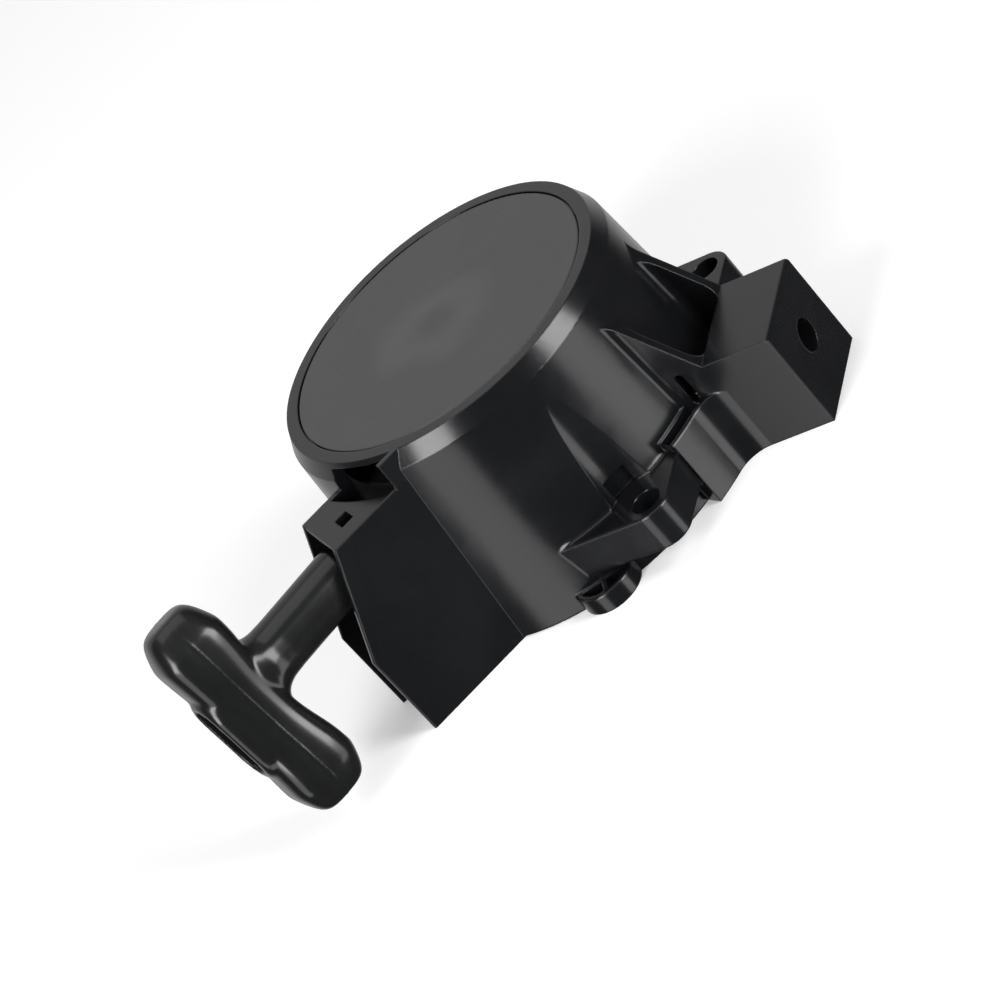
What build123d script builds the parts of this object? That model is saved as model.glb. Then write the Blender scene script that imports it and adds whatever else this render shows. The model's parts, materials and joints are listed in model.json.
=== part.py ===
from build123d import *
import os
from math import atan2, cos, degrees, hypot, radians, sin, sqrt

# Recoil starter for a small engine. Millimetres. +Z runs along the cup's axis from its open,
# engine side (z = 0) to the closed face. The rope leaves towards -X.

os.makedirs("parts", exist_ok=True)

# ---- driving dimensions: cup ----
FACE_R = 50.0
FACE_Z = 66.0
SHOULDER_R = 52.3
SHOULDER_Z = 61.1
SHOULDER_EDGE_R = 0.8
BASE_R = 56.8
WALL = 3.0
CEILING_Z = 62.5
DISC_R = 45.8
DISC_THICK = 1.2
DISC_GROOVE = 0.5
PILOT_R = 54.0
PILOT_DEPTH = 5.0

# ---- mounting ears ----
BOLT_R = 64.0
BOLT_HOLE_R = 4.25
EAR_NOSE_R = 7.0
EAR_BOTTOM = 7.5
EAR_TOP = 19.0
TOOL_R = 11.2
SWELL = 3.4
SWELL_TOP = 40.0
POCKET_W = 8.0
POCKET_DEEP = 1.4
POCKET_TOP = 25.2

# ---- corner block, its gussets and its skirt ----
BLOCK_ANGLE = -45.0
BLOCK_NEAR = 65.0
BLOCK_END = 86.0
BLOCK_HALF = 16.0
BLOCK_TOP = 31.0
BLOCK_EDGE_R = 1.6
GUSSET_IN = 47.0
GUSSET_TOP = 58.9
ROOT_R = 3.0
EDGE_R = 0.7
BLOCK_BORE_R = 4.7
BLOCK_BORE_Z = 17.0
BLOCK_BORE_DEPTH = 18.0
BLOCK_BOSS_WALL = 2.8
BLOCK_CORE_WALL = 3.0
VALLEY_Z = 20.0
GUSSET_OFFSET = 14.7
SLOT_NEAR = 57.6
SLOT_Z = 26.0
SLOT_LENGTH = 10.5
SLOT_W = 2.8
SKIRT_R = 61.5
SKIRT_TOP = 22.0
SKIRT_WALL = 1.3
SKIRT_FLOOR = 6.0
SKIRT_FROM = 30.5
SKIRT_TO = 21.0

# ---- rope outlet ----
CHUTE_FRONT = -77.2
CHUTE_TOP_FRONT = -64.4
CHUTE_KNEE_Z = 26.5
SHELF_Z = 58.0
SHELF_THICK = 2.0
NEAR_PLATE = -36.0
FAR_PLATE = -12.6
OUTLET_MID = (NEAR_PLATE + FAR_PLATE) / 2
OUTLET_WIDE = FAR_PLATE - NEAR_PLATE
PLATE_THICK = 1.8
HORN_X = -41.6
HORN_LEAN = 0.4
NEAR_ROOT_X = -33.0
FAR_ROOT_X = -48.0
SHELF_ROOT_X = -45.0
SHELF_HOLE_AT = (-56.3, -27.0)
SHELF_HOLE = (4.0, 5.4)
GUIDE_WALL_X = -61.5
GUIDE_WALL_THICK = 2.5
GUIDE_HOLE_R = 4.6
WINDOW_IN_R = 47.5
WINDOW_OUT_R = 56.3
WINDOW_BOTTOM = 38.0
WINDOW_X = -50.0
WINDOW_REACH = 40.0
LIP_THICK = 1.5

# ---- locating lug at the rim ----
LUG_AT = (-19.5, -51.0)
LUG_R = 9.0
LUG_TOP = 5.5
LUG_WALL = 1.6
LUG_FLOOR = 2.5
LUG_RIB = (24.0, 1.4)

# ---- rope and pull line ----
ROPE_R = 2.0
GUIDE_EYE_R = ROPE_R + 0.5
GUIDE_BODY_R = 4.5
GUIDE_FLANGE_R = 6.4
GUIDE_FLANGE = 1.2
GUIDE_BACK = 1.8
ROPE_Z = 45.6
ROPE_PITCH = 4.0
LAYER_PITCH = 3.5
LAYERS = 3
HUB_R = 14.5
EXIT_Y = -23.0
LEAD_X = -15.5
PULL_YAW = 8.0

# ---- reel, post and spring ----
POST_R = 8.0
POST_END = 33.5
POST_HOLE_R = 2.5
POST_HOLE_DEPTH = 15.0
RUN_FIT = 0.06
REEL_R = 28.5
REEL_BOTTOM = 38.0
GROOVE_HALF = 4.3
TOP_FLANGE = 1.0
COLLAR_R = 11.0
SLEEVE_R = 11.8
SLEEVE_TOP = 61.5
CHAMBER_R = 37.0
CHAMBER_WALL = 2.0
COVER_R = 45.0
COVER_BOTTOM = 51.2
COVER_THICK = 1.0
COVER_SCREW_R = 41.6
COVER_BOSS_R = 3.2
COVER_SCREW_CORE_R = 1.5
COVER_SCREW_SHANK_R = 1.4
COVER_SCREW_LENGTH = 7.5
COVER_HEAD_R = 2.8
COVER_HEAD_THICK = 1.6
COVER_HOLE_R = 1.7
COVER_VENT_AT = 32.0
COVER_VENT_R = 2.5
DRIVER_CROSS = (3.2, 0.7, 0.9)
SPRING_STRIP = 0.5
SPRING_BOTTOM = 53.0
SPRING_HEIGHT = 8.6
SPRING_IN_R = 12.4
SPRING_HALF_TURNS = 24
SPRING_STEP = 0.98
HOOK_W = 1.6
SPRING_HOOK_IN = 10.4
SPRING_HOOK_OUT = 39.6

# ---- ratchet ----
PIVOT_R = 19.0
HOLE_RING_R = 22.5
KNOT_R = 20.0
KNOT_BOSS_R = 5.4
KNOT_POCKET_R = 4.2
KNOT_BODY_R = 3.9
KNOT_HALF = 2.8
LIGHTENING_R = 2.6
PIVOT_PIN_R = 2.5
PAWL_BOTTOM = 33.3
PAWL_TOP = 37.7
PAWL_BOSS_R = 4.8
PAWL_POCKET_R = 4.1
PAWL_POCKET = 1.7
PAWL_SPRING_R = 3.8
PAWL_SPRING_THICK = 1.75
PAWL_TIP = (2.2, -12.5)
PAWL_TIP_R = 2.2
CAM_PIN = (0.6, -7.0)
CAM_PIN_R = 1.4
PLATE_SLIP = 25.0
PAWL_RATIO = 1.2
DRIVE_R = 27.0
DRIVE_BOTTOM = 30.2
DRIVE_TOP = 32.2
DRIVE_WAIST_AT = 4.0
DRIVE_WAIST_R = 12.0
WASHER_R = 12.0
SHOULDER_SCREW_R = 5.0
HEAD_TOP = 27.9
HEAD_THICK = 2.7
HEAD_FLANGE = 0.8
HEAD_FLANGE_R = 8.2
HEX_R = 7.5
SCREW_THREAD_R = 2.45
SCREW_THREAD = 14.0
FRICTION_IN_R = 5.3
FRICTION_OUT_R = 8.4

# ---- handle ----
STEM_R = 8.0
STEM_TIP = 2.8
GRIP_AT = 46.1
GRIP_LEAN = 15.7
GRIP_MID = -5.3
GRIP_HALF = 33.7
HANDLE_BORE_R = 2.4
POCKET_FLOOR = 44.0
BEZEL_END = 58.0
BEZEL = (30.0, 16.0)
KNOT_ROOM = (26.0, 12.0)
STEM_FOOT = (11.0, 5.0, 2.2)
HANDLE_WASHER_R = 5.6
HANDLE_WASHER_THICK = 1.0
HANDLE_KNOT_R = 3.6
HANDLE_KNOT_LONG = 6.0

EAR_SIDE = 2 * ((BOLT_R + EAR_NOSE_R * sqrt(2)) * cos(radians(45)))
CHAMBER_BOTTOM = COVER_BOTTOM + COVER_THICK
WOUND_R = HUB_R + ROPE_R + (LAYERS - 1) * LAYER_PITCH
SPRING_OUT_R = SPRING_IN_R + SPRING_HALF_TURNS * SPRING_STEP
CORNER = Plane.XY.rotated((0, 0, BLOCK_ANGLE))
N_DIR = Vector(cos(radians(BLOCK_ANGLE)), sin(radians(BLOCK_ANGLE)), 0)
T_DIR = Vector(-N_DIR.Y, N_DIR.X, 0)


def corner_point(near, aside, height):
    """Point at a distance along the block's direction, a distance aside of it, and a height."""
    return N_DIR * near + T_DIR * aside + Vector(0, 0, height)


def round_point(radius, turn, height):
    """Point at a radius, an angle from +X in degrees, and a height."""
    return Vector(radius * cos(radians(turn)), radius * sin(radians(turn)), height)


def edges_near(part, spots):
    """The edges of a part whose middles lie nearest to the given points."""
    return ShapeList([part.edges().sort_by(lambda edge: (edge @ 0.5 - spot).length)[0] for spot in spots])


def corner_plane(offset):
    """Upright plane along the block's direction, offset sideways by a distance."""
    return Plane(origin=T_DIR * offset, x_dir=N_DIR, z_dir=T_DIR * -1)


def skirt_outline(side, ear_turn, inner):
    """Closed wire of the skirt on one side, from an angle at the ear to a distance aside at the gusset."""
    bend_turn = radians(90 - SKIRT_TO)
    start = (SKIRT_R * cos(radians(ear_turn)), side * SKIRT_R * sin(radians(ear_turn)))
    bend = (SKIRT_R * cos(radians(SKIRT_TO)), side * SKIRT_R * sin(radians(SKIRT_TO)))
    middle_angle = radians((ear_turn + SKIRT_TO) / 2)
    middle = (SKIRT_R * cos(middle_angle), side * SKIRT_R * sin(middle_angle))
    drop = abs(bend[1]) - BLOCK_HALF
    bend_r = drop / (1 - cos(bend_turn))
    flat = (bend[0] + bend_r * sin(bend_turn), side * BLOCK_HALF)
    half_turn = bend_turn / 2
    on_bend = (flat[0] - bend_r * sin(half_turn), flat[1] + side * bend_r * (1 - cos(half_turn)))
    root = FACE_R - WALL
    ThreePointArc(start, middle, bend)
    ThreePointArc(bend, on_bend, flat)
    Polyline(flat, (BLOCK_NEAR + 3, side * BLOCK_HALF), (BLOCK_NEAR + 3, side * inner), (root, side * inner),
             (root * cos(radians(ear_turn)), side * root * sin(radians(ear_turn))), start)


# middles of the edges that get moulded roots or rounded corners
GUSSET_INNER = 2 * GUSSET_OFFSET - BLOCK_HALF
VALLEY_SPOTS = [corner_point(FACE_R + 5.3, 0, VALLEY_Z), corner_point(BLOCK_NEAR, 0, VALLEY_Z)]
GUSSET_ROOT_SPOTS = []
for side in (-1, 1):
    VALLEY_SPOTS.append(corner_point(FACE_R + 2.5, side * GUSSET_INNER, 36))
    VALLEY_SPOTS.append(corner_point(FACE_R + 9.3, side * GUSSET_INNER, VALLEY_Z))
    VALLEY_SPOTS.append(corner_point(BLOCK_NEAR, side * GUSSET_INNER, 25))
    GUSSET_ROOT_SPOTS.append(corner_point(FACE_R + 1.6, side * BLOCK_HALF, 38))
EAR_ROOT_R = BASE_R - (BASE_R - SHOULDER_R) * EAR_TOP / SHOULDER_Z
EAR_ROOT_SPOTS = [round_point(EAR_ROOT_R, turn, EAR_TOP) for turn in (-97, -7, 15, 90, 173)]
EAR_NOSE_SPOTS = []
for turn in range(-90, 181, 90):
    EAR_NOSE_SPOTS.append(round_point(BOLT_R + EAR_NOSE_R, turn, EAR_BOTTOM))
    EAR_NOSE_SPOTS.append(round_point(BOLT_R + EAR_NOSE_R, turn, EAR_TOP))
BLOCK_RIM_SPOTS = [corner_point(BLOCK_END, 0, BLOCK_TOP)]
SKIRT_RIM_SPOTS = [round_point(SKIRT_R, BLOCK_ANGLE + turn, SKIRT_TOP) for turn in (-26, 26)]
LUG_RIM_SPOTS = [Vector(*LUG_AT, LUG_TOP) * (1 + LUG_R / hypot(*LUG_AT)) - Vector(0, 0, 1)]
CHUTE_SPOTS = [Vector(CHUTE_TOP_FRONT, OUTLET_MID, SHELF_Z)]
for plate_y in (NEAR_PLATE, FAR_PLATE):
    CHUTE_SPOTS.append(Vector(CHUTE_FRONT, plate_y, CHUTE_KNEE_Z / 2))
    CHUTE_SPOTS.append(Vector((CHUTE_FRONT + CHUTE_TOP_FRONT) / 2, plate_y, (CHUTE_KNEE_Z + SHELF_Z) / 2))
    CHUTE_SPOTS.append(Vector(-55, plate_y, SHELF_Z))

# ---------------------------------------------------------------- housing
with BuildPart() as housing:
    # outer cup: drafted wall, bevelled shoulder, flat face
    with BuildSketch(Plane.XZ) as cup_profile:
        with BuildLine():
            Polyline((0, 0), (BASE_R, 0), (SHOULDER_R, SHOULDER_Z), (FACE_R, FACE_Z), (0, FACE_Z), close=True)
        make_face()
        fillet(cup_profile.vertices().group_by(Axis.X)[-2:], SHOULDER_EDGE_R)
    revolve(axis=Axis.Z)
    # four mounting ears are the corners of one rounded square
    with BuildSketch(Plane.XY.offset(EAR_BOTTOM)) as ear_plate:
        RectangleRounded(EAR_SIDE, EAR_SIDE, EAR_NOSE_R, rotation=45)
    extrude(amount=EAR_TOP - EAR_BOTTOM)
    # corner block with its low web back to the cup
    with BuildSketch(CORNER) as block_web:
        with Locations(((BLOCK_NEAR + FACE_R) / 2, 0)):
            Rectangle(BLOCK_NEAR - FACE_R + 2, 2 * BLOCK_HALF - 1)
    extrude(amount=VALLEY_Z)
    with BuildSketch(CORNER) as block_plan:
        with Locations(((BLOCK_NEAR + BLOCK_END) / 2, 0)):
            Rectangle(BLOCK_END - BLOCK_NEAR, 2 * BLOCK_HALF)
        end_corners = block_plan.vertices().sort_by(Axis.Y)[0] + block_plan.vertices().sort_by(Axis.X)[-1]
        fillet(end_corners, BLOCK_EDGE_R)
    extrude(amount=BLOCK_TOP)
    # gussets from the shoulder down to the block, and skirts between the ears and the block
    for side in (-1, 1):
        with BuildSketch(corner_plane(side * GUSSET_OFFSET)) as gusset:
            with BuildLine():
                Polyline((GUSSET_IN, GUSSET_TOP), (BLOCK_NEAR, BLOCK_TOP), (BLOCK_NEAR + 3, BLOCK_TOP - 1.5),
                         (BLOCK_NEAR + 3, VALLEY_Z - 1), (GUSSET_IN, VALLEY_Z - 1), close=True)
            make_face()
        extrude(amount=BLOCK_HALF - GUSSET_OFFSET, both=True)
        with BuildSketch(CORNER) as skirt:
            with BuildLine():
                skirt_outline(side, SKIRT_FROM, GUSSET_OFFSET)
            make_face()
        extrude(amount=SKIRT_TOP)
    # rope outlet: near plate with its horn, far plate, shelf and guide wall
    with BuildSketch(Plane.XZ.offset(-NEAR_PLATE)) as near_plate:
        with BuildLine():
            Polyline((CHUTE_FRONT, 0), (CHUTE_FRONT, CHUTE_KNEE_Z), (CHUTE_TOP_FRONT, SHELF_Z),
                     (HORN_X - HORN_LEAN, SHELF_Z), (HORN_X, FACE_Z), (NEAR_ROOT_X, FACE_Z), (NEAR_ROOT_X, 0),
                     close=True)
        make_face()
    extrude(amount=-PLATE_THICK)
    with BuildSketch(Plane.XZ.offset(-FAR_PLATE)) as far_plate:
        with BuildLine():
            Polyline((CHUTE_FRONT, 0), (CHUTE_FRONT, CHUTE_KNEE_Z), (CHUTE_TOP_FRONT, SHELF_Z),
                     (FAR_ROOT_X, SHELF_Z), (FAR_ROOT_X, 0), close=True)
        make_face()
    extrude(amount=PLATE_THICK)
    with BuildSketch(Plane.XY.offset(SHELF_Z - SHELF_THICK)) as shelf:
        with Locations(((CHUTE_TOP_FRONT + SHELF_ROOT_X) / 2, OUTLET_MID)):
            Rectangle(SHELF_ROOT_X - CHUTE_TOP_FRONT, OUTLET_WIDE)
    extrude(amount=SHELF_THICK)
    with BuildSketch(Plane.XY) as guide_wall:
        with Locations((GUIDE_WALL_X + GUIDE_WALL_THICK / 2, OUTLET_MID)):
            Rectangle(GUIDE_WALL_THICK, OUTLET_WIDE)
    extrude(amount=SHELF_Z - SHELF_THICK)
    # locating lug at the rim
    with BuildSketch() as lug:
        with Locations(LUG_AT):
            Circle(LUG_R)
    extrude(amount=LUG_TOP)

    # soft moulded roots where the webs and ears meet the cup, and rounded outer edges
    fillet(edges_near(housing, VALLEY_SPOTS), ROOT_R)
    fillet(edges_near(housing, GUSSET_ROOT_SPOTS), ROOT_R * 0.8)
    fillet(edges_near(housing, EAR_NOSE_SPOTS), EDGE_R)
    fillet(edges_near(housing, EAR_ROOT_SPOTS), ROOT_R * 0.5)
    fillet(edges_near(housing, BLOCK_RIM_SPOTS), BLOCK_EDGE_R * 0.7)
    fillet(edges_near(housing, SKIRT_RIM_SPOTS), EDGE_R)
    fillet(edges_near(housing, LUG_RIM_SPOTS), EDGE_R)
    fillet(edges_near(housing, CHUTE_SPOTS), EDGE_R)

    # hollow inside, with the pilot register at the mouth
    with BuildSketch(Plane.XZ) as cavity:
        with BuildLine():
            Polyline((0, 0), (PILOT_R, 0), (PILOT_R, PILOT_DEPTH), (BASE_R - WALL - 0.4, PILOT_DEPTH),
                     (SHOULDER_R - WALL, SHOULDER_Z - 3), (SHOULDER_R - WALL - 1, CEILING_Z),
                     (0, CEILING_Z), close=True)
        make_face()
    revolve(axis=Axis.Z, mode=Mode.SUBTRACT)
    # inner wall swells behind each tool clearance
    with BuildSketch(Plane.XY.offset(EAR_BOTTOM)) as swelling:
        with PolarLocations(BOLT_R, 3, start_angle=-90, angular_range=180, endpoint=True):
            Circle(TOOL_R + SWELL)
        Circle(BASE_R - WALL, mode=Mode.INTERSECT)
    extrude(amount=SWELL_TOP - EAR_BOTTOM)
    # centre post and spring chamber
    with BuildSketch(Plane.XY.offset(POST_END)) as post:
        Circle(POST_R)
    extrude(amount=CEILING_Z - POST_END + 0.5)
    with BuildSketch(Plane.XY.offset(CHAMBER_BOTTOM)) as chamber:
        Circle(CHAMBER_R + CHAMBER_WALL)
        with PolarLocations(COVER_SCREW_R, 3, start_angle=90):
            Circle(COVER_BOSS_R)
        Circle(CHAMBER_R, mode=Mode.SUBTRACT)
        with Locations((CHAMBER_R + 1, 0)):
            Rectangle(6, HOOK_W, mode=Mode.SUBTRACT)
    extrude(amount=CEILING_Z - CHAMBER_BOTTOM + 0.5)
    with BuildSketch(Plane.XY.offset(CHAMBER_BOTTOM)) as cover_screw_holes:
        with PolarLocations(COVER_SCREW_R, 3, start_angle=90):
            Circle(COVER_SCREW_CORE_R)
    extrude(amount=COVER_SCREW_LENGTH + 0.5, mode=Mode.SUBTRACT)
    with BuildSketch(Plane.XY.offset(POST_END)) as post_hole:
        Circle(POST_HOLE_R)
    extrude(amount=POST_HOLE_DEPTH, mode=Mode.SUBTRACT)

    # recess of the face disc
    with BuildSketch(Plane.XY.offset(FACE_Z - DISC_THICK)) as disc_recess:
        Circle(DISC_R + DISC_GROOVE)
    extrude(amount=DISC_THICK, mode=Mode.SUBTRACT)
    # window under the rim, where the rope passes from the cup into the outlet
    with BuildSketch(Plane.XY.offset(WINDOW_BOTTOM)) as window:
        Circle(WINDOW_OUT_R)
        Circle(WINDOW_IN_R, mode=Mode.SUBTRACT)
        with Locations((WINDOW_X, OUTLET_MID)):
            Rectangle(WINDOW_REACH, OUTLET_WIDE - 2 * PLATE_THICK, mode=Mode.INTERSECT)
    extrude(amount=FACE_Z - LIP_THICK - WINDOW_BOTTOM, mode=Mode.SUBTRACT)
    # guide hole and the small square hole in the shelf
    with BuildSketch(Plane.YZ.offset(GUIDE_WALL_X)) as guide_hole:
        with Locations((EXIT_Y, ROPE_Z)):
            Circle(GUIDE_HOLE_R)
    extrude(amount=GUIDE_WALL_THICK, mode=Mode.SUBTRACT)
    with BuildSketch(Plane.XY.offset(SHELF_Z - SHELF_THICK)) as shelf_hole:
        with Locations(SHELF_HOLE_AT):
            Rectangle(*SHELF_HOLE)
    extrude(amount=SHELF_THICK, mode=Mode.SUBTRACT)

    # ears: bolt holes, the tool clearance up the wall, and a pocket behind the bolt head
    with BuildSketch(Plane.XY.offset(EAR_BOTTOM)) as bolt_holes:
        with PolarLocations(BOLT_R, 4):
            Circle(BOLT_HOLE_R)
    extrude(amount=EAR_TOP - EAR_BOTTOM, mode=Mode.SUBTRACT)
    with BuildSketch(Plane.XY.offset(EAR_TOP)) as tool_clearance:
        with PolarLocations(BOLT_R, 3, start_angle=-90, angular_range=180, endpoint=True):
            Circle(TOOL_R)
    extrude(amount=SHOULDER_Z - EAR_TOP, mode=Mode.SUBTRACT)
    with BuildSketch(Plane.XY.offset(EAR_TOP)) as head_pocket:
        with PolarLocations(BOLT_R - TOOL_R, 3, start_angle=-90, angular_range=180, endpoint=True):
            Rectangle(2 * POCKET_DEEP, POCKET_W)
    extrude(amount=POCKET_TOP - EAR_TOP, mode=Mode.SUBTRACT)
    # skirt pockets, open to the gusset and to the ear
    for side in (-1, 1):
        with BuildSketch(CORNER.offset(SKIRT_FLOOR)) as skirt_pocket:
            with BuildLine():
                skirt_outline(side, SKIRT_FROM + degrees(SKIRT_WALL / SKIRT_R), BLOCK_HALF - SKIRT_WALL)
            make_face()
            offset(amount=-SKIRT_WALL, kind=Kind.INTERSECTION, mode=Mode.REPLACE)
            Circle(BASE_R - 1.0, mode=Mode.SUBTRACT)
        extrude(amount=SKIRT_TOP - SKIRT_FLOOR, mode=Mode.SUBTRACT)
    # block: cored from below around the bore's boss, then bored from its end face
    with BuildSketch(CORNER) as block_core:
        with Locations(((BLOCK_NEAR + BLOCK_END) / 2, 0)):
            Rectangle(BLOCK_END - BLOCK_NEAR - 2 * BLOCK_CORE_WALL, 2 * BLOCK_HALF - 2 * BLOCK_CORE_WALL)
    extrude(amount=BLOCK_TOP - BLOCK_CORE_WALL, mode=Mode.SUBTRACT)
    with BuildSketch(Plane(origin=N_DIR * (BLOCK_NEAR + 1), x_dir=T_DIR, z_dir=N_DIR)) as bore_boss:
        with Locations((0, BLOCK_BORE_Z)):
            Circle(BLOCK_BORE_R + BLOCK_BOSS_WALL)
    extrude(amount=BLOCK_END - BLOCK_NEAR - 2)
    with BuildSketch(Plane(origin=N_DIR * (BLOCK_END - BLOCK_BORE_DEPTH), x_dir=T_DIR, z_dir=N_DIR)) as bore:
        with Locations((0, BLOCK_BORE_Z)):
            Circle(BLOCK_BORE_R)
    extrude(amount=BLOCK_BORE_DEPTH, mode=Mode.SUBTRACT)
    # upright slot through the gusset on the lug's side
    with BuildSketch(corner_plane(-GUSSET_OFFSET)) as gusset_slot:
        with Locations((SLOT_NEAR, SLOT_Z)):
            SlotOverall(SLOT_LENGTH, SLOT_W, rotation=90)
    extrude(amount=BLOCK_HALF - GUSSET_OFFSET, both=True, mode=Mode.SUBTRACT)
    # lug pockets, either side of a thin rib
    with BuildSketch(Plane.XY.offset(LUG_FLOOR)) as lug_pocket:
        with Locations(LUG_AT):
            Circle(LUG_R - LUG_WALL)
            Rectangle(*LUG_RIB, rotation=degrees(atan2(LUG_AT[1], LUG_AT[0])), mode=Mode.SUBTRACT)
        Circle(BASE_R + 0.3, mode=Mode.SUBTRACT)
    extrude(amount=LUG_TOP - LUG_FLOOR, mode=Mode.SUBTRACT)
housing.part.label = "housing"

# ---------------------------------------------------------------- face disc
with BuildPart() as face_disc:
    with BuildSketch(Plane.XY.offset(FACE_Z - DISC_THICK)):
        Circle(DISC_R)
    extrude(amount=DISC_THICK)
    fillet(face_disc.edges().filter_by(GeomType.CIRCLE).sort_by(Axis.Z)[-1], 0.4)
face_disc.part.label = "face_disc"

# ---------------------------------------------------------------- rope guide
with BuildPart() as rope_guide:
    guide_front = GUIDE_WALL_X - GUIDE_FLANGE
    guide_end = GUIDE_WALL_X + GUIDE_WALL_THICK + GUIDE_BACK
    flare_y = EXIT_Y + GUIDE_EYE_R + 0.9
    with BuildSketch(Plane.XY.offset(ROPE_Z)) as guide_profile:
        with BuildLine():
            Polyline((guide_front, flare_y), (guide_front, EXIT_Y + GUIDE_FLANGE_R),
                     (GUIDE_WALL_X, EXIT_Y + GUIDE_FLANGE_R), (GUIDE_WALL_X, EXIT_Y + GUIDE_BODY_R),
                     (guide_end, EXIT_Y + GUIDE_BODY_R), (guide_end, flare_y),
                     (guide_end - 1, EXIT_Y + GUIDE_EYE_R), (guide_front + 1, EXIT_Y + GUIDE_EYE_R), close=True)
        make_face()
    revolve(axis=Axis((0, EXIT_Y, ROPE_Z), (1, 0, 0)))
rope_guide.part.label = "rope_guide"

# ---------------------------------------------------------------- spring cover and its screws
with BuildPart() as spring_cover:
    with BuildSketch(Plane.XY.offset(COVER_BOTTOM)):
        Circle(COVER_R)
        Circle(SLEEVE_R + 0.8, mode=Mode.SUBTRACT)
        with PolarLocations(COVER_SCREW_R, 3, start_angle=90):
            Circle(COVER_HOLE_R, mode=Mode.SUBTRACT)
        with PolarLocations(COVER_VENT_AT, 6, start_angle=30):
            Circle(COVER_VENT_R, mode=Mode.SUBTRACT)
    extrude(amount=COVER_THICK)
spring_cover.part.label = "spring_cover"

with BuildPart() as cover_screws:
    with BuildSketch(Plane.XY.offset(COVER_BOTTOM - COVER_HEAD_THICK)):
        with PolarLocations(COVER_SCREW_R, 3, start_angle=90):
            Circle(COVER_HEAD_R)
    extrude(amount=COVER_HEAD_THICK)
    with BuildSketch(Plane.XY.offset(COVER_BOTTOM)):
        with PolarLocations(COVER_SCREW_R, 3, start_angle=90):
            Circle(COVER_SCREW_SHANK_R)
    extrude(amount=COVER_SCREW_LENGTH)
    cross_long, cross_wide, cross_deep = DRIVER_CROSS
    with BuildSketch(Plane.XY.offset(COVER_BOTTOM - COVER_HEAD_THICK)):
        with PolarLocations(COVER_SCREW_R, 3, start_angle=90):
            Rectangle(cross_long, cross_wide)
            Rectangle(cross_wide, cross_long)
    extrude(amount=cross_deep, mode=Mode.SUBTRACT)
cover_screws.part.label = "cover_screws"

# ---------------------------------------------------------------- recoil spring
with BuildPart() as recoil_spring:
    with BuildSketch(Plane.XY.offset(SPRING_BOTTOM)) as spiral:
        with BuildLine():
            for strip_side in (0, SPRING_STRIP):
                for turn in range(SPRING_HALF_TURNS):
                    arc_r = SPRING_IN_R + turn * SPRING_STEP + strip_side
                    CenterArc((SPRING_STEP * (turn % 2), 0), arc_r, 180 * (turn % 2), 180)
            Polyline((SPRING_IN_R, 0), (SPRING_HOOK_IN, 0), (SPRING_HOOK_IN, -SPRING_STRIP),
                     (SPRING_IN_R + SPRING_STRIP, -SPRING_STRIP), (SPRING_IN_R + SPRING_STRIP, 0))
            Polyline((SPRING_OUT_R, 0), (SPRING_OUT_R, SPRING_STRIP), (SPRING_HOOK_OUT, SPRING_STRIP),
                     (SPRING_HOOK_OUT, 0), (SPRING_OUT_R + SPRING_STRIP, 0))
        make_face()
    extrude(amount=SPRING_HEIGHT)
recoil_spring.part.label = "recoil_spring"

# ---------------------------------------------------------------- rope reel
with BuildPart() as rope_reel:
    with BuildSketch(Plane.XZ) as reel_profile:
        bore_r = POST_R + RUN_FIT
        with BuildLine():
            Polyline((bore_r, POST_END + 0.2), (COLLAR_R, POST_END + 0.2), (COLLAR_R, REEL_BOTTOM),
                     (REEL_R, REEL_BOTTOM), (REEL_R, ROPE_Z - GROOVE_HALF), (HUB_R, ROPE_Z - GROOVE_HALF),
                     (HUB_R, ROPE_Z + GROOVE_HALF), (REEL_R, ROPE_Z + GROOVE_HALF),
                     (REEL_R, ROPE_Z + GROOVE_HALF + TOP_FLANGE),
                     (SLEEVE_R, ROPE_Z + GROOVE_HALF + TOP_FLANGE),
                     (SLEEVE_R, SLEEVE_TOP), (bore_r, SLEEVE_TOP), close=True)
        make_face()
    revolve(axis=Axis.Z)
    with BuildSketch(Plane.XY.offset(PAWL_BOTTOM - 0.3)) as pivots:
        with PolarLocations(PIVOT_R, 2):
            Circle(PIVOT_PIN_R)
    extrude(amount=REEL_BOTTOM - PAWL_BOTTOM + 0.3)
    with BuildSketch(Plane.XY.offset(POST_END + 0.2)) as knot_boss:
        with Locations((0, KNOT_R)):
            Circle(KNOT_BOSS_R)
    extrude(amount=REEL_BOTTOM - POST_END - 0.2)
    with BuildSketch(Plane.XY.offset(POST_END + 0.2)) as knot_pocket:
        with Locations((0, KNOT_R)):
            Circle(KNOT_POCKET_R)
    extrude(amount=6.0, mode=Mode.SUBTRACT)
    with BuildSketch(Plane.XY.offset(REEL_BOTTOM)) as knot_hole:
        with Locations((0, KNOT_R)):
            Circle(ROPE_R + 0.25)
    extrude(amount=ROPE_Z - GROOVE_HALF - REEL_BOTTOM, mode=Mode.SUBTRACT)
    with BuildSketch(Plane.XY.offset(REEL_BOTTOM)) as lightening:
        with PolarLocations(HOLE_RING_R, 3, start_angle=240, angular_range=60, endpoint=True):
            Circle(LIGHTENING_R)
    extrude(amount=ROPE_Z - GROOVE_HALF - REEL_BOTTOM, mode=Mode.SUBTRACT)
    with BuildSketch(Plane.XY.offset(SPRING_BOTTOM - 0.3)) as hook_slot:
        with Locations((SLEEVE_R, -SPRING_STRIP / 2)):
            Rectangle(2 * (SLEEVE_R - SPRING_HOOK_IN + 0.3), HOOK_W)
    extrude(amount=SLEEVE_TOP - SPRING_BOTTOM + 0.3, mode=Mode.SUBTRACT)
rope_reel.part.label = "rope_reel"

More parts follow.
